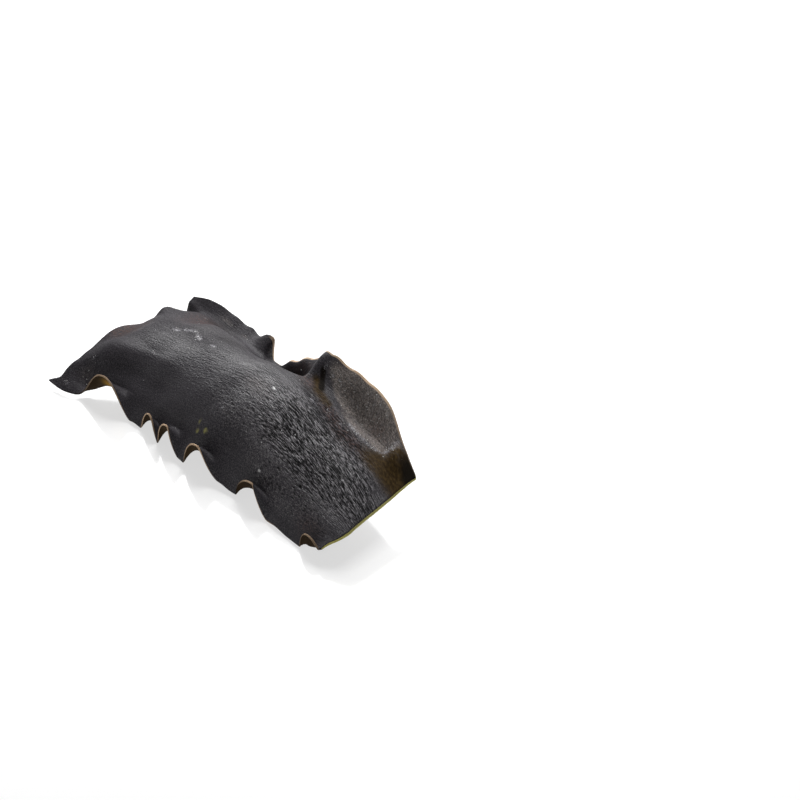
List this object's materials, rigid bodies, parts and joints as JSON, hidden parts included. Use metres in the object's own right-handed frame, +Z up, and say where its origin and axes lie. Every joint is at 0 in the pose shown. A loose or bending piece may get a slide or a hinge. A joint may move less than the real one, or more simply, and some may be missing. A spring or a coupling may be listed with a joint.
{
  "type": "dried kelp strip",
  "caption": "Stiff strip of dried kelp, arched along its length, with frilled long rims, one deep fold at the right rim and a straight cut end.",
  "frame": {"origin": "centre of the footprint, at the height of the lowest point that rests on the table", "axes": "+X along the strip towards the straight cut end, +Y across it towards the rim with the deep fold, +Z up from the table"},
  "size_m": [0.1798, 0.0796, 0.0397],
  "materials": {
    "kelp": "satin, wrinkled, with pale dry salt in places"
  },
  "bodies": {
    "root": {"kelp_strip": "kelp"}
  },
  "joints": []
}
